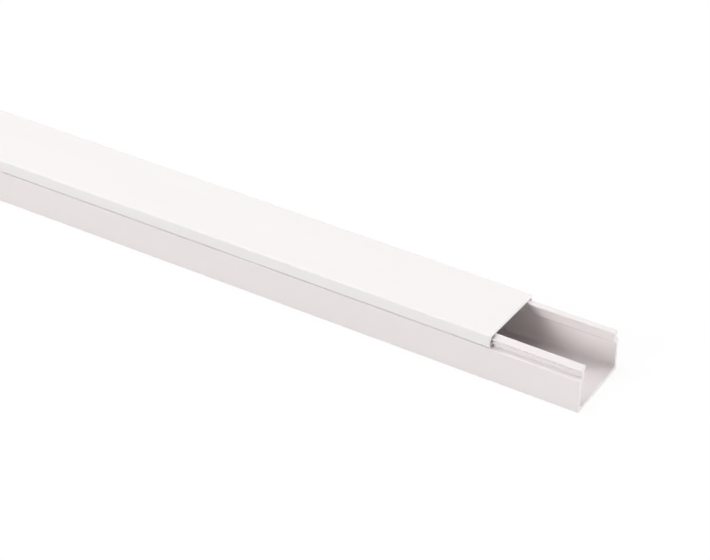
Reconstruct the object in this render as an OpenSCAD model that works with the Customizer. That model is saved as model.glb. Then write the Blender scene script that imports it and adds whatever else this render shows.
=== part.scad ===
// Cable trunking in extruded rigid PVC. The base is a U-shaped channel. Above a shoulder that falls
// outwards, each wall goes on as a neck with a bead outside, a crease above it and a lip turned inwards,
// and the top of the lip slopes down outwards. The lid's skirts stand over the necks, flush with the
// walls, and their hooks lie in the grooves under the beads.
// The length runs along X with the open end at +X, and the back lies on z = 0.

/* [Stock] */
// Width over the walls
trunking_w = 25; // [16:0.5:60]
// Height from the back to the top of the lid
trunking_h = 16; // [12:0.5:60]
// Length that the base and the lid are both cut to
stock_length = 1000; // [300:10:3000]
// Distance that the lid is drawn back from the open end
lid_back = 29; // [0:1:250]

/* [Base walls] */
// Thickness of the floor
floor_t = 1.1; // [0.8:0.05:2]
// Thickness of the walls up to the step
wall_t = 1.2; // [0.8:0.05:1.6]
// Height of the clip rail, from the foot of the neck to the top of the lip
rail_h = 3.2; // [3.1:0.05:5]
// Depth of the neck's outer face behind the wall's outer face
neck_inset = 1.6; // [1.15:0.05:2]
// Thickness of the neck
neck_t = 1.25; // [0.8:0.05:2]
// Fall of the shoulder, from the foot of the neck out to the wall's outer face
shoulder_fall = 0.4; // [0:0.05:0.6]
// Depth of the step inside the wall, from the foot of the neck down to the foot of its slope
step_depth = 1.95; // [1.6:0.05:3]
// Rise of the step's slope, from the wall to the neck
step_rise = 1.5; // [0.2:0.05:1.6]

/* [Bead and lip] */
// Height of the groove, from the foot of the neck to the bead
groove_h = 1.3; // [1.1:0.05:1.6]
// Height of the bead's outer face
bead_h = 0.35; // [0.3:0.05:0.6]
// Height of the slope from the bead in to the crease above it
bead_slope_h = 0.15; // [0.1:0.05:0.4]
// Depth of the crease behind the bead and the outer edge of the lip
crease_depth = 0.35; // [0.1:0.05:0.5]
// Distance that the lip reaches in past the neck
lip_reach = 0.75; // [0.6:0.05:2]
// Thickness of the lip
lip_t = 0.85; // [0.75:0.05:1.2]
// Width of the flat on top of the lip, next to its tip
lip_flat_w = 0.75; // [0.4:0.05:1.2]
// Height of the slope from the flat down to the outer edge of the lip
lip_slope_h = 0.65; // [0.3:0.05:0.8]

/* [Lid] */
// Thickness of the lid's top
lid_t = 1.1; // [0.8:0.05:1.6]
// Thickness of the lid's skirts
skirt_t = 0.75; // [0.6:0.05:0.85]
// Width and height of the slant that leads the hook over the bead
hook_lead = 0.4; // [0.2:0.05:0.45]

/* [Fits] */
// Clearance of the lid's skirts and hooks to the beads and necks that they slide along
slide_clearance = 0.1; // [0.05:0.01:0.14]
// Clearance between the top of the lip and the lid
seat_clearance = 0.05; // [0.02:0.01:0.2]
// Gap between the shoulder and the foot of the hook
seam_gap = 0.2; // [0.1:0.05:0.4]

/* [Edges] */
// Radius of the lower outer edges of the base
back_edge_r = 0.3; // [0.1:0.05:1]
// Size of the bevel along the outer edge of the shoulder
shoulder_bevel = 0.25; // [0.05:0.05:0.5]
// Radius of the two edges of the lip's tip
lip_tip_r = 0.35; // [0.05:0.05:0.35]
// Radius of the edges of the bead and the hook
bead_edge_r = 0.12; // [0.05:0.01:0.14]
// Radius between the floor and the walls
floor_fillet_r = 0.8; // [0.2:0.05:2]
// Radius in the corner under the lip
lip_fillet_r = 0.4; // [0.1:0.05:0.5]
// Radius of the long upper edges of the lid
lid_edge_r = 0.8; // [0.2:0.05:1.1]
// Radius inside the corners of the lid
lid_fillet_r = 0.5; // [0.1:0.05:0.6]

/* [Hidden] */

$fn = 64;
// Reach of a cut past the faces that it opens or rounds, so that no film is left on them
cut_sink = 0.05;

// Places across the section, from the middle out to the -Y side
wall_out = -trunking_w / 2;
wall_in = wall_out + wall_t;
neck_out = wall_out + neck_inset;
neck_in = neck_out + neck_t;
skirt_in = wall_out + skirt_t;
bead_tip = skirt_in + slide_clearance;
hook_tip = neck_out - slide_clearance;
hook_foot = hook_tip - hook_lead;
crease_in = bead_tip + crease_depth;
lip_tip = neck_in + lip_reach;
lip_flat = lip_tip - lip_flat_w;

// Heights above the back
lid_under = trunking_h - lid_t;
lip_top = lid_under - seat_clearance;
lip_under = lip_top - lip_t;
lip_edge = lip_top - lip_slope_h;
neck_foot = lip_top - rail_h;
shoulder_edge = neck_foot - shoulder_fall;
shoulder_slope = shoulder_fall / neck_inset;
bead_under = neck_foot + groove_h;
bead_top = bead_under + bead_h;
crease = bead_top + bead_slope_h;
step_foot = neck_foot - step_depth;
step_head = step_foot + step_rise;
skirt_foot = shoulder_edge + shoulder_slope * (hook_foot - wall_out) + seam_gap;
hook_top = bead_under - slide_clearance;

// The space outside the -Y rail, where the lid's skirt and hook go, from the shoulder up over the lip
clip_space = [
    [wall_out - cut_sink, shoulder_edge - shoulder_bevel],
    [wall_out, shoulder_edge - shoulder_bevel],
    [wall_out + shoulder_bevel, shoulder_edge + shoulder_slope * shoulder_bevel],
    [neck_out, neck_foot],
    [neck_out, bead_under],
    [bead_tip, bead_under],
    [bead_tip, bead_top],
    [crease_in, crease],
    [bead_tip, lip_edge],
    [lip_flat, lip_top],
    [lip_flat, trunking_h],
    [wall_out - cut_sink, trunking_h],
];

// The -Y half of the cable space, from the floor up the inside and out between the lips
cable_space = [
    [wall_in, floor_t],
    [wall_in, step_foot],
    [neck_in, step_head],
    [neck_in, lip_under],
    [lip_tip, lip_under],
    [lip_tip, trunking_h],
];

// The -Y half of the lid's outside, from the foot of the skirt up to the top
lid_outside = [
    [wall_out, skirt_foot],
    [wall_out, trunking_h],
];

// The -Y half of the space inside the lid, from between the hooks up to the underside
lid_space = [
    [hook_foot, shoulder_edge],
    [hook_foot, skirt_foot],
    [hook_tip, skirt_foot + hook_lead],
    [hook_tip, hook_top],
    [skirt_in, hook_top],
    [skirt_in, lid_under],
];

// A half outline followed by its mirror image, as one closed outline
function both_halves(half) =
    concat(half, [for (i = [len(half) - 1 : -1 : 0]) [-half[i][0], half[i][1]]]);

// Draws its children on both sides of the middle
module on_both_sides() {
    for (side = [0, 1])
        mirror([side, 0])
            children();
}

// What lies between a square corner and the arc that rounds it, to be cut away from the shape that
// has the corner. At turn 0 it opens to the right and up.
module corner(at, turn, radius) {
    translate(at)
        rotate(turn)
            difference() {
                translate([-cut_sink, -cut_sink])
                    square(radius + cut_sink);
                translate([radius, radius])
                    circle(radius);
            }
}

module base_space() {
    difference() {
        polygon(both_halves(cable_space));
        on_both_sides() {
            corner([wall_in, floor_t], 0, floor_fillet_r);
            corner([neck_in, lip_under], 270, lip_fillet_r);
        }
    }
}

module base_section() {
    difference() {
        translate([wall_out, 0])
            square([trunking_w, lip_top]);
        base_space();
        on_both_sides() {
            polygon(clip_space);
            corner([wall_out, 0], 0, back_edge_r);
            corner([bead_tip, bead_under], 0, bead_edge_r);
            corner([lip_tip, lip_top], 180, lip_tip_r);
            corner([lip_tip, lip_under], 90, lip_tip_r);
        }
    }
}

module under_lid_space() {
    difference() {
        polygon(both_halves(lid_space));
        on_both_sides() corner([skirt_in, lid_under], 270, lid_fillet_r);
    }
}

module lid_section() {
    difference() {
        polygon(both_halves(lid_outside));
        under_lid_space();
        on_both_sides() {
            corner([wall_out, trunking_h], 270, lid_edge_r);
            corner([hook_tip, hook_top], 180, bead_edge_r);
        }
    }
}

// Draws a section out along X to the stock length, with its +X end at the given place
module extruded_to(end_x) {
    translate([end_x - stock_length, 0, 0])
        rotate([90, 0, 90])
            linear_extrude(stock_length)
                children();
}

module base() {
    color("#e9e5e4")
        extruded_to(stock_length / 2)
            base_section();
}

module lid() {
    color("#f3f2f1")
        extruded_to(stock_length / 2 - lid_back)
            lid_section();
}

base();
lid();
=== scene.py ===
"""Clip-lid cable trunking: a U-shaped base and a hooked lid, each swept from its section, on a pale stage.

Lengths are in metres, as Blender has them, and the settings' defaults are given in millimetres.
+X runs along the trunking to its open end, +Y across it, and +Z from its back to its lid.
"""

import math
from typing import NamedTuple

import bpy
from mathutils import Matrix, Vector, noise


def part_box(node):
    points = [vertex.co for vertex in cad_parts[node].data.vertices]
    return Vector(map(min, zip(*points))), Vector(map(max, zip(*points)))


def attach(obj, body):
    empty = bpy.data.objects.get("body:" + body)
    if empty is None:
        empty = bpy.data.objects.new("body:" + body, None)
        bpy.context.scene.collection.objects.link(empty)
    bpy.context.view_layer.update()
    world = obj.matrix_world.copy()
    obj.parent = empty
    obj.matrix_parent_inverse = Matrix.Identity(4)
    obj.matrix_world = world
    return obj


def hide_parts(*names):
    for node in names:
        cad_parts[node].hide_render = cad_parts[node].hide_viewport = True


bl_info = {
    "name": "Cable trunking",
    "version": (1, 0, 0),
    "blender": (4, 5, 0),
    "location": "3D View > Sidebar > Trunking",
    "description": "Sweeps the base and the lid of a length of cable trunking and lights them softly",
    "category": "Add Mesh",
}

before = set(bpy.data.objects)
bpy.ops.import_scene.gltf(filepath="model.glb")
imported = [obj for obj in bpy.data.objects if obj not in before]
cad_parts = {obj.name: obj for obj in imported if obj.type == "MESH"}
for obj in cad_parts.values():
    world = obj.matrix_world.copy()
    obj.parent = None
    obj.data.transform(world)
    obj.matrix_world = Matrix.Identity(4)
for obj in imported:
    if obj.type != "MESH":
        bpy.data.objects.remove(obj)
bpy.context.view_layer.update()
BASE_LOW, BASE_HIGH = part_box("base")
LID_LOW, LID_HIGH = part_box("lid")

# One millimetre in metres
MM = 0.001
# Width in pixels of the picture that the focal length is given for
PICTURE_WIDTH = 710
# Width of the camera's sensor, in the millimetres that Blender gives lenses in
SENSOR_WIDTH = 36.0
# The farthest that a flat facet may lie from the arc that it stands for
ARC_TOLERANCE = 0.0015 * MM
# The fewest facets in a rounded corner
FEWEST_FACETS = 2
# About the distance between two rings of a sweep
RING_SPACING = 25 * MM
# Half of the floor's width
HALF_FLOOR = 6.0
# Depth of the floor below the back, which keeps their two faces apart
FLOOR_SINK = 0.02 * MM
# Typical index of refraction of rigid PVC
PVC_IOR = 1.53


def length(name, description, mm):
    """A length that a user can change, with its default in millimetres."""
    return bpy.props.FloatProperty(
        name=name,
        description=description,
        default=mm * MM,
        min=0.0,
        precision=5,
        subtype="DISTANCE",
        unit="LENGTH",
    )


def angle(name, description, degrees):
    """An angle that a user can change, with its default in degrees."""
    return bpy.props.FloatProperty(
        name=name,
        description=description,
        default=math.radians(degrees),
        subtype="ANGLE",
        unit="ROTATION",
    )


def linear(hex_colour):
    """An sRGB hex colour as linear red, green and blue."""
    channels = [int(hex_colour[i : i + 2], 16) / 255 for i in (1, 3, 5)]
    return [c / 12.92 if c <= 0.04045 else ((c + 0.055) / 1.055) ** 2.4 for c in channels]


def colour(name, description, hex_colour):
    """A colour that a user can change, with its default as an sRGB hex value."""
    return bpy.props.FloatVectorProperty(
        name=name,
        description=description,
        default=linear(hex_colour),
        min=0.0,
        max=1.0,
        subtype="COLOR",
    )


def level(name, description, share):
    """A brightness that a user can change, where 1 is white."""
    return bpy.props.FloatProperty(
        name=name, description=description, default=share, min=0.0, precision=3
    )


class SectionSizes(bpy.types.PropertyGroup):
    """Sizes of the two sections. Width and heights over all come from the frame."""

    floor_t: length("Floor", "Thickness of the base's floor", 1.1)
    wall_t: length("Wall", "Thickness of the base's walls up to the step", 1.2)
    rail_h: length("Clip rail", "Height from the foot of the neck to the top of the lip", 3.2)
    neck_inset: length("Neck inset", "Depth of the neck behind the wall's outer face", 1.6)
    neck_t: length("Neck", "Thickness of the neck", 1.25)
    shoulder_fall: length("Shoulder fall", "Fall of the shoulder from the neck out to the wall's face", 0.4)
    step_depth: length("Step depth", "Height from the foot of the inner slope to the neck's foot", 1.95)
    step_rise: length("Step rise", "Height of the slope from the wall to the neck", 1.5)
    groove_h: length("Groove", "Height of the groove from the foot of the neck to the bead", 1.3)
    bead_h: length("Bead", "Height of the bead's outer face", 0.35)
    bead_slope_h: length("Bead slope", "Height from the bead's face to the crease above it", 0.15)
    crease_depth: length("Crease", "Depth of the crease behind the bead and the lip", 0.35)
    lip_reach: length("Lip reach", "Distance that the lip reaches in past the neck", 0.75)
    lip_t: length("Lip", "Thickness of the lip", 0.85)
    lip_flat_w: length("Lip flat", "Width of the flat on top of the lip, next to its tip", 0.75)
    lip_slope_h: length("Lip slope", "Height of the slope from the flat to the lip's outer edge", 0.65)
    lid_t: length("Lid", "Thickness of the lid's top", 1.1)
    skirt_t: length("Skirt", "Thickness of the lid's skirts", 0.75)
    hook_lead: length("Hook lead", "Width and height of the slant under the hook", 0.4)
    slide_clearance: length("Slide clearance", "Room between hooks, skirts, beads and necks", 0.1)


class EdgeSizes(bpy.types.PropertyGroup):
    """Radii of the sections' corners, and how the saw left the ends."""

    back_r: length("Back edge", "Radius of the base's lower outer edges", 0.3)
    shoulder_r: length("Shoulder", "Radius of the shoulder's outer edge", 0.3)
    neck_fillet_r: length("Neck fillet", "Radius between the shoulder and the neck", 0.08)
    lip_tip_r: length("Lip tip", "Radius of both edges of the lip's tip", 0.35)
    lip_fillet_r: length("Lip fillet", "Radius in the corner under the lip", 0.4)
    floor_fillet_r: length("Floor fillet", "Radius between the floor and the walls", 0.8)
    lid_r: length("Lid edge", "Radius of the lid's long upper edges", 0.8)
    lid_fillet_r: length("Lid fillet", "Radius inside the lid's corners", 0.5)
    die_r: length("Die radius", "Radius that the die leaves on every other edge", 0.12)
    crease_r: length("Crease radius", "Radius at the bottom of the crease", 0.05)
    base_lean: angle("Base cut", "How far the base's open end is cut out of square", 1.49)
    lid_lean: angle("Lid cut", "How far the lid's end is cut out of square", -0.33)
    burr: length("Broken edge", "Width of the edge that is broken after sawing", 0.04)
    chatter: length("Saw chatter", "How far the saw wandered along a cut", 0.02)
    chatter_pitch: length("Chatter pitch", "Distance over which the saw wandered", 1.4)


class FinishColours(bpy.types.PropertyGroup):
    """Colours of the plastic. The sawn colours are lighter than the skin partly because bare cut PVC is
    whiter and partly as painted light on the cut ends, and the saw marks' colours put painted shade in the
    marks' bottoms.
    """

    base: colour("Base", "Skin of the base", "#ebe5e5")
    base_shade: colour("Base shade", "Slightly thinner pigment in the base's skin", "#e7e1e0")
    lid: colour("Lid", "Skin of the lid", "#eeebeb")
    lid_shade: colour("Lid shade", "Slightly thinner pigment in the lid's skin", "#eae6e6")
    # Painted light: the sawn colours are lighter than the skin, partly because bare cut PVC is whiter and
    # partly standing in for the light on the cut ends
    base_sawn_and_painted_light: colour("Base sawn", "The base's plastic laid bare by the saw", "#ede8e8")
    # Painted shade: the darker colour in the bottoms of the base's saw marks
    base_saw_mark_painted_shade: colour("Base saw marks", "Bottoms of the saw's marks in the base", "#e3dddc")
    # Painted light, as for the base: partly whiter bare PVC, partly the light on the lid's cut end
    lid_sawn_and_painted_light: colour("Lid sawn", "The lid's plastic laid bare by the saw", "#f6f4f4")
    # Painted shade: the darker colour in the bottoms of the lid's saw marks
    lid_saw_mark_painted_shade: colour("Lid saw marks", "Bottoms of the saw's marks in the lid", "#eeebeb")


class StageSettings(bpy.types.PropertyGroup):
    """Camera, floor and lamps."""

    azimuth: angle("Azimuth", "Turn of the camera from straight across the trunking to its open end", 32.26)
    elevation: angle("Elevation", "Height of the camera above the horizon", 34.47)
    distance: length("Distance", "Distance from the camera to the point that it is aimed at", 730.7)
    aim_back: length("Aim back", "Distance from the open end back to the point that is aimed at", 83.05)
    aim_across: length("Aim across", "Distance from the middle across to the point that is aimed at", 0.49)
    focal_pixels: bpy.props.FloatProperty(
        name="Focal length", description="Focal length in pixels of the picture", default=2426.7
    )
    floor: colour("Floor", "How pale the floor is for the light that it sends up", "#d9d9d9")
    shadow: level("Shadow", "Share of the floor's brightness that a shadow can take away", 0.11)
    front_lamp: level("Front lamp", "Brightness of white that faces the lamp in front", 0.65)
    left_lamp: level("Left lamp", "Brightness of white that faces the lamp on the left", 0.34)
    top_lamp: level("Top lamp", "Brightness of white that faces the lamp above", 0.32)
    back_lamp: level("Back lamp", "Brightness of white that faces the lamp above and behind", 0.26)
    end_lamp: level("End lamp", "Brightness of white that faces the low lamp off the open end", 0.86)


class LampPlace(NamedTuple):
    """Where a lamp hangs, seen from the point that it lights, and its size, in degrees and metres."""

    azimuth: float
    elevation: float
    distance: float
    width: float
    height: float


# Each lamp has the name of the setting for its brightness. They hang far off, so that the whole length
# is lit evenly.
LAMPS = {
    "front_lamp": LampPlace(azimuth=333, elevation=25, distance=6.0, width=2.7, height=2.7),
    "left_lamp": LampPlace(azimuth=285, elevation=34, distance=16.0, width=7.2, height=7.2),
    "top_lamp": LampPlace(azimuth=270, elevation=70, distance=12.0, width=6.0, height=6.0),
    "back_lamp": LampPlace(azimuth=180, elevation=70, distance=12.0, width=6.0, height=6.0),
    "end_lamp": LampPlace(azimuth=126, elevation=12, distance=12.0, width=5.55, height=2.85),
}


def base_half(size, edge):
    """Corners of the base's -Y half, each (y, z, radius), from the back over the lip to the floor."""
    wall_out = BASE_LOW.y
    wall_in = wall_out + size.wall_t
    neck_out = wall_out + size.neck_inset
    neck_in = neck_out + size.neck_t
    bead_tip = wall_out + size.skirt_t + size.slide_clearance
    lip_tip = neck_in + size.lip_reach
    lip_top = BASE_HIGH.z
    lip_under = lip_top - size.lip_t
    neck_foot = lip_top - size.rail_h
    bead_under = neck_foot + size.groove_h
    bead_top = bead_under + size.bead_h
    crease = bead_top + size.bead_slope_h
    step_foot = neck_foot - size.step_depth
    return [
        (wall_out, BASE_LOW.z, edge.back_r),
        (wall_out, neck_foot - size.shoulder_fall, edge.shoulder_r),
        (neck_out, neck_foot, edge.neck_fillet_r),
        (neck_out, bead_under, edge.die_r),
        (bead_tip, bead_under, edge.die_r),
        (bead_tip, bead_top, edge.die_r),
        (bead_tip + size.crease_depth, crease, edge.crease_r),
        (bead_tip, lip_top - size.lip_slope_h, edge.die_r),
        (lip_tip - size.lip_flat_w, lip_top, edge.die_r),
        (lip_tip, lip_top, edge.lip_tip_r),
        (lip_tip, lip_under, edge.lip_tip_r),
        (neck_in, lip_under, edge.lip_fillet_r),
        (neck_in, step_foot + size.step_rise, edge.die_r),
        (wall_in, step_foot, edge.die_r),
        (wall_in, BASE_LOW.z + size.floor_t, edge.floor_fillet_r),
    ]


def lid_half(size, edge):
    """Corners of the lid's -Y half, each (y, z, radius), from under the top round the hook to the top."""
    wall_out = LID_LOW.y
    skirt_in = wall_out + size.skirt_t
    hook_tip = wall_out + size.neck_inset - size.slide_clearance
    skirt_foot = LID_LOW.z
    bead_under = BASE_HIGH.z - size.rail_h + size.groove_h
    hook_top = bead_under - size.slide_clearance
    return [
        (skirt_in, LID_HIGH.z - size.lid_t, edge.lid_fillet_r),
        (skirt_in, hook_top, edge.die_r),
        (hook_tip, hook_top, edge.die_r),
        (hook_tip, skirt_foot + size.hook_lead, edge.die_r),
        (hook_tip - size.hook_lead, skirt_foot, edge.die_r),
        (wall_out, skirt_foot, edge.die_r),
        (wall_out, LID_HIGH.z, edge.lid_r),
    ]


def both_halves(half):
    """A half outline followed by its mirror image, as one closed clockwise outline."""
    return half + [(-y, z, radius) for y, z, radius in reversed(half)]


def rounded(corners):
    """Rounds the corners of a closed clockwise outline. Returns its points and their outward directions."""
    points = []
    outward = []
    for i, (y, z, radius) in enumerate(corners):
        corner = Vector((y, z))
        coming = (corner - Vector(corners[i - 1][:2])).normalized()
        going = (Vector(corners[(i + 1) % len(corners)][:2]) - corner).normalized()
        turn = math.atan2(coming.cross(going), coming.dot(going))
        out = Vector((-coming.y, coming.x))
        reach = math.copysign(radius, turn)
        centre = corner - coming * radius * math.tan(abs(turn) / 2) + out * reach
        # A facet over a turn of t lies at most radius * t * t / 8 from its arc
        widest_turn = math.sqrt(8 * ARC_TOLERANCE / radius)
        steps = max(FEWEST_FACETS, math.ceil(abs(turn) / widest_turn))
        for step in range(steps + 1):
            spoke = Matrix.Rotation(turn * step / steps, 2) @ out
            points.append(centre - spoke * reach)
            outward.append(spoke)
    return points, outward


def sweep(name, corners, start, end, lean, edge, skin, sawn):
    """Sweeps an outline along X between two sawn ends. The end at +X leans out of square.

    In the outline's own points, x is the place across the trunking and y the height.
    """
    points, outward = rounded(corners)
    count = len(points)
    half_width = max(point.x for point in points)
    foremost = -math.copysign(half_width, lean)

    def ring(x, inset=0.0, facing=0, slope=0.0):
        """One ring of the sweep. At a sawn end, which faces +X or -X, it leans and follows the saw."""
        places = []
        for point, out in zip(points, outward):
            place = point - out * inset
            wander = noise.noise(Vector((place.x, place.y, x)) / edge.chatter_pitch)
            lag = slope * abs(place.x - foremost) + edge.chatter * (1 + wander) / 2
            places.append((x - facing * lag, *place))
        return places

    slope = math.tan(abs(lean))
    rows = max(1, round((end - start) / RING_SPACING))
    rings = [ring(start, edge.burr, -1), ring(start + edge.burr, 0.0, -1)]
    rings += [ring(start + (end - start) * row / rows) for row in range(1, rows)]
    rings += [ring(end - edge.burr, 0.0, 1, slope), ring(end, edge.burr, 1, slope)]

    last = len(rings) - 1
    faces = []
    for row in range(last):
        here = row * count
        there = here + count
        for i in range(count):
            after = (i + 1) % count
            faces.append((here + i, there + i, there + after, here + after))
    faces.append(tuple(range(count)))
    faces.append(tuple(reversed(range(last * count, last * count + count))))
    mesh = bpy.data.meshes.new(name)
    mesh.from_pydata([place for places in rings for place in places], [], faces)

    mesh.materials.append(skin)
    mesh.materials.append(sawn)
    broken_edges = {0: -1.0, last - 1: 1.0}
    directions = []
    for polygon in mesh.polygons:
        row = polygon.index // count
        is_cut = row >= last
        facing = broken_edges.get(row, 0.0)
        polygon.use_smooth = True
        polygon.material_index = 1 if is_cut or facing else 0
        for vertex in polygon.vertices:
            if is_cut:
                directions.append(polygon.normal)
            else:
                directions.append(Vector((facing, *outward[vertex % count])).normalized())
    mesh.normals_split_custom_set(directions)
    mesh.validate()
    piece = bpy.data.objects.new(name, mesh)
    bpy.context.scene.collection.objects.link(piece)
    return piece


def add_node(tree, kind, inputs, **settings):
    """Adds a node, sets its properties, and sets each input or links it to another node's output."""
    node = tree.nodes.new(kind)
    for name, value in settings.items():
        setattr(node, name, value)
    for socket, value in inputs.items():
        if isinstance(value, bpy.types.NodeSocket):
            tree.links.new(value, node.inputs[socket])
        else:
            node.inputs[socket].default_value = value
    return node


def new_material(name):
    """An empty node material and its tree."""
    material = bpy.data.materials.new(name)
    material.use_nodes = True
    material.node_tree.nodes.clear()
    return material, material.node_tree


def extruded_pvc(name, skin, shade):
    """Rigid PVC as it leaves the die.

    The skin is an even, faintly warm white with a satin gloss. The die and the sizing sleeve after it
    leave fine lines along the whole length, and the pigment clouds a little along the flow.
    """
    material, tree = new_material(name)
    die_line_gap = 0.5 * MM  # really about 0.1 mm, drawn coarser so that it shows
    die_line_run = 400 * MM
    die_line_depth = 0.01 * MM
    die_line_strength = 0.25
    die_line_octaves = 2.0
    cloud_width = 9 * MM
    cloud_run = 60 * MM
    cloud_octaves = 3.0
    # Roughness on the lines that the die polished most and least, and the noise at which they lie
    smoothest = 0.36
    dullest = 0.46
    smoothest_from = 0.3
    dullest_from = 0.7
    place = add_node(tree, "ShaderNodeTexCoord", {}).outputs["Object"]
    along_lines = add_node(
        tree,
        "ShaderNodeMapping",
        {"Vector": place, "Scale": (1 / die_line_run, 1 / die_line_gap, 1 / die_line_gap)},
    )
    along_clouds = add_node(
        tree,
        "ShaderNodeMapping",
        {"Vector": place, "Scale": (1 / cloud_run, 1 / cloud_width, 1 / cloud_width)},
    )
    lines = add_node(
        tree,
        "ShaderNodeTexNoise",
        {"Vector": along_lines.outputs[0], "Scale": 1.0, "Detail": die_line_octaves},
    )
    clouds = add_node(
        tree,
        "ShaderNodeTexNoise",
        {"Vector": along_clouds.outputs[0], "Scale": 1.0, "Detail": cloud_octaves},
    )
    pigment = add_node(
        tree,
        "ShaderNodeMix",
        {"Factor": clouds.outputs["Fac"], "A": (*skin, 1.0), "B": (*shade, 1.0)},
        data_type="RGBA",
    )
    gloss = add_node(
        tree,
        "ShaderNodeMapRange",
        {
            "Value": lines.outputs["Fac"],
            "From Min": smoothest_from,
            "From Max": dullest_from,
            "To Min": smoothest,
            "To Max": dullest,
        },
    )
    relief = add_node(
        tree,
        "ShaderNodeBump",
        {"Height": lines.outputs["Fac"], "Strength": die_line_strength, "Distance": die_line_depth},
    )
    shader = add_node(
        tree,
        "ShaderNodeBsdfPrincipled",
        {
            "Base Color": pigment.outputs["Result"],
            "Roughness": gloss.outputs["Result"],
            "Normal": relief.outputs["Normal"],
            "IOR": PVC_IOR,
        },
    )
    add_node(tree, "ShaderNodeOutputMaterial", {"Surface": shader.outputs["BSDF"]})
    return material


def sawn_pvc(name, bare, shade):
    """Rigid PVC where a fine-toothed saw has cut it.

    The cut is matt, and each stroke leaves a shallow mark, so that it scatters light more evenly than
    the skin and shows close parallel lines.
    """
    material, tree = new_material(name)
    mark_gap = 0.45 * MM  # really about 0.15 mm, drawn coarser so that it shows
    mark_slant = math.radians(24)
    mark_depth = 0.03 * MM
    mark_strength = 0.4
    mark_wobble = 1.5
    wobble_octaves = 2.0
    wobble_scale = 1.2
    matt = 0.62
    # Distance between two bands of the wave texture at scale 1
    wave_gap = math.tau / 20
    place = add_node(tree, "ShaderNodeTexCoord", {}).outputs["Object"]
    turned = add_node(
        tree,
        "ShaderNodeMapping",
        {"Vector": place, "Rotation": (mark_slant, 0.0, 0.0)},
    )
    marks = add_node(
        tree,
        "ShaderNodeTexWave",
        {
            "Vector": turned.outputs[0],
            "Scale": wave_gap / mark_gap,
            "Distortion": mark_wobble,
            "Detail": wobble_octaves,
            "Detail Scale": wobble_scale,
        },
        bands_direction="Z",
    )
    # Painted light: the bare colour is lighter than the skin, partly for the whiter cut and partly standing
    # in for the light on the cut faces
    # Painted shade: the darker colour lies in the bottoms of the marks, the hollows of the relief below
    pigment = add_node(
        tree,
        "ShaderNodeMix",
        {"Factor": marks.outputs["Fac"], "A": (*shade, 1.0), "B": (*bare, 1.0)},
        data_type="RGBA",
    )
    relief = add_node(
        tree,
        "ShaderNodeBump",
        {"Height": marks.outputs["Fac"], "Strength": mark_strength, "Distance": mark_depth},
    )
    shader = add_node(
        tree,
        "ShaderNodeBsdfPrincipled",
        {
            "Base Color": pigment.outputs["Result"],
            "Normal": relief.outputs["Normal"],
            "Roughness": matt,
            "IOR": PVC_IOR,
        },
    )
    add_node(tree, "ShaderNodeOutputMaterial", {"Surface": shader.outputs["BSDF"]})
    return material


def seen_directly(tree):
    """A factor that is 1 for rays from the camera, from gloss or through glass, and 0 for the light."""
    path = add_node(tree, "ShaderNodeLightPath", {})
    seen = path.outputs["Is Camera Ray"]
    for kind in ("Is Glossy Ray", "Is Transmission Ray"):
        either = add_node(
            tree, "ShaderNodeMath", {0: seen, 1: path.outputs[kind]}, operation="MAXIMUM"
        )
        seen = either.outputs[0]
    return seen


def floor_paper(name, paper, shadow):
    """Matt paper. It sends light of its own colour up, and is itself seen as white with a faint shadow."""
    material, tree = new_material(name)
    lit = add_node(tree, "ShaderNodeBsdfDiffuse", {"Color": (*paper, 1.0)})
    dimmed = add_node(tree, "ShaderNodeBsdfDiffuse", {"Color": (shadow, shadow, shadow, 1.0)})
    glow = add_node(tree, "ShaderNodeEmission", {"Strength": 1.0 - shadow})
    white = add_node(tree, "ShaderNodeAddShader", {0: dimmed.outputs[0], 1: glow.outputs[0]})
    mix = add_node(
        tree,
        "ShaderNodeMixShader",
        {0: seen_directly(tree), 1: lit.outputs[0], 2: white.outputs[0]},
    )
    add_node(tree, "ShaderNodeOutputMaterial", {"Surface": mix.outputs[0]})
    material.cycles.emission_sampling = "NONE"
    return material


def white_walls():
    """White walls all round. They are seen directly and in gloss, and leave the lighting to the lamps."""
    world = bpy.data.worlds.new("white walls")
    world.use_nodes = True
    tree = world.node_tree
    tree.nodes.clear()
    back = add_node(
        tree,
        "ShaderNodeBackground",
        {"Color": (1.0, 1.0, 1.0, 1.0), "Strength": seen_directly(tree)},
    )
    add_node(tree, "ShaderNodeOutputWorld", {"Surface": back.outputs[0]})
    bpy.context.scene.world = world


def direction(azimuth, elevation):
    """The way to a lamp or the camera. Azimuth 0 is straight in front, and 90 degrees off the open end."""
    return Vector(
        (
            math.sin(azimuth) * math.cos(elevation),
            -math.cos(azimuth) * math.cos(elevation),
            math.sin(elevation),
        )
    )


def softbox(name, aim, place, brightness):
    """A soft lamp. White paper that faces it, at the point it is aimed at, gets the given brightness."""
    way = direction(math.radians(place.azimuth), math.radians(place.elevation))
    light = bpy.data.lights.new(name, "AREA")
    light.shape = "RECTANGLE"
    light.size = place.width
    light.size_y = place.height
    # A small flat lamp of P watts gives white paper at distance d a brightness of P / (pi d)^2
    light.energy = brightness * (math.pi * place.distance) ** 2
    lamp = bpy.data.objects.new(name, light)
    lamp.location = aim + way * place.distance
    lamp.rotation_euler = way.to_track_quat("Z", "Y").to_euler()
    lamp.visible_camera = False
    lamp.visible_glossy = False
    bpy.context.scene.collection.objects.link(lamp)


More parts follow.
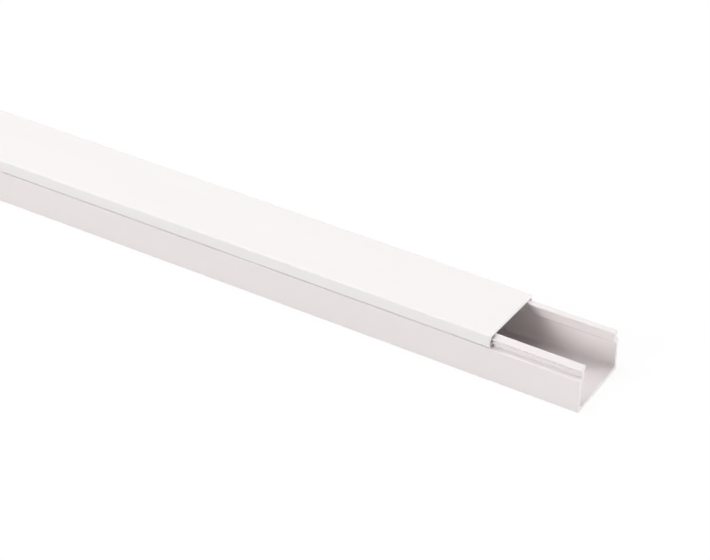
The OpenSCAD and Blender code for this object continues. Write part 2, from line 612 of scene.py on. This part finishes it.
class TRUNKING_OT_extrude_base(bpy.types.Operator):
    """Sweeps the base and gives it its finish"""

    bl_idname = "trunking.extrude_base"
    bl_label = "Extrude base"

    def execute(self, context):
        scene = context.scene
        colours = scene.trunking_colours
        piece = sweep(
            "trunking_base",
            both_halves(base_half(scene.trunking_section, scene.trunking_edges)),
            BASE_LOW.x,
            BASE_HIGH.x,
            scene.trunking_edges.base_lean,
            scene.trunking_edges,
            extruded_pvc("rigid PVC, extruded, base", colours.base, colours.base_shade),
            sawn_pvc("rigid PVC, sawn, base", colours.base_sawn_and_painted_light, colours.base_saw_mark_painted_shade),
        )
        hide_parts("base")
        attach(piece, "base")
        return {"FINISHED"}


class TRUNKING_OT_extrude_lid(bpy.types.Operator):
    """Sweeps the lid and gives it its finish"""

    bl_idname = "trunking.extrude_lid"
    bl_label = "Extrude lid"

    def execute(self, context):
        scene = context.scene
        colours = scene.trunking_colours
        piece = sweep(
            "trunking_lid",
            both_halves(lid_half(scene.trunking_section, scene.trunking_edges)),
            LID_LOW.x,
            LID_HIGH.x,
            scene.trunking_edges.lid_lean,
            scene.trunking_edges,
            extruded_pvc("rigid PVC, extruded, lid", colours.lid, colours.lid_shade),
            sawn_pvc("rigid PVC, sawn, lid", colours.lid_sawn_and_painted_light, colours.lid_saw_mark_painted_shade),
        )
        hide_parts("lid")
        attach(piece, "lid")
        return {"FINISHED"}


class TRUNKING_OT_set_stage(bpy.types.Operator):
    """Lays the floor, hangs the lamps and sets up the camera"""

    bl_idname = "trunking.set_stage"
    bl_label = "Set stage"

    def execute(self, context):
        scene = context.scene
        stage = scene.trunking_stage
        scene.view_settings.view_transform = "Standard"
        mesh = bpy.data.meshes.new("floor")
        mesh.from_pydata(
            [
                (x * HALF_FLOOR, y * HALF_FLOOR, BASE_LOW.z - FLOOR_SINK)
                for x, y in ((-1, -1), (1, -1), (1, 1), (-1, 1))
            ],
            [],
            [(0, 1, 2, 3)],
        )
        mesh.materials.append(floor_paper("white paper floor", stage.floor, stage.shadow))
        floor = bpy.data.objects.new("floor", mesh)
        scene.collection.objects.link(floor)
        white_walls()

        aim = Vector((BASE_HIGH.x - stage.aim_back, stage.aim_across, LID_HIGH.z / 2))
        for name, place in LAMPS.items():
            softbox(name, aim, place, getattr(stage, name))

        lens = bpy.data.cameras.new("camera")
        lens.sensor_fit = "HORIZONTAL"
        lens.sensor_width = SENSOR_WIDTH
        lens.lens = stage.focal_pixels * SENSOR_WIDTH / PICTURE_WIDTH
        camera = bpy.data.objects.new("camera", lens)
        back = direction(stage.azimuth, stage.elevation)
        camera.location = aim + back * stage.distance
        camera.rotation_euler = back.to_track_quat("Z", "Y").to_euler()
        scene.collection.objects.link(camera)
        scene.camera = camera
        return {"FINISHED"}


class TRUNKING_PT_panel(bpy.types.Panel):
    """The trunking's sizes, colours and steps"""

    bl_idname = "TRUNKING_PT_panel"
    bl_label = "Cable trunking"
    bl_space_type = "VIEW_3D"
    bl_region_type = "UI"
    bl_category = "Trunking"

    def draw(self, context):
        for operator in OPERATORS:
            self.layout.operator(operator.bl_idname)
        for name in SETTINGS:
            box = self.layout.box()
            group = getattr(context.scene, name)
            for key in group.__annotations__:
                box.prop(group, key)


OPERATORS = (TRUNKING_OT_extrude_base, TRUNKING_OT_extrude_lid, TRUNKING_OT_set_stage)
SETTINGS = {
    "trunking_section": SectionSizes,
    "trunking_edges": EdgeSizes,
    "trunking_colours": FinishColours,
    "trunking_stage": StageSettings,
}
CLASSES = (*SETTINGS.values(), *OPERATORS, TRUNKING_PT_panel)


def register():
    """Adds the classes to Blender, and the settings to every scene."""
    for cls in CLASSES:
        bpy.utils.register_class(cls)
    for name, group in SETTINGS.items():
        setattr(bpy.types.Scene, name, bpy.props.PointerProperty(type=group))


def unregister():
    """Takes the settings and the classes away again."""
    for name in SETTINGS:
        delattr(bpy.types.Scene, name)
    for cls in reversed(CLASSES):
        bpy.utils.unregister_class(cls)


def main():
    """Makes the pieces and the stage."""
    register()
    bpy.ops.trunking.extrude_base()
    bpy.ops.trunking.extrude_lid()
    bpy.ops.trunking.set_stage()


if __name__ == "__main__":
    main()
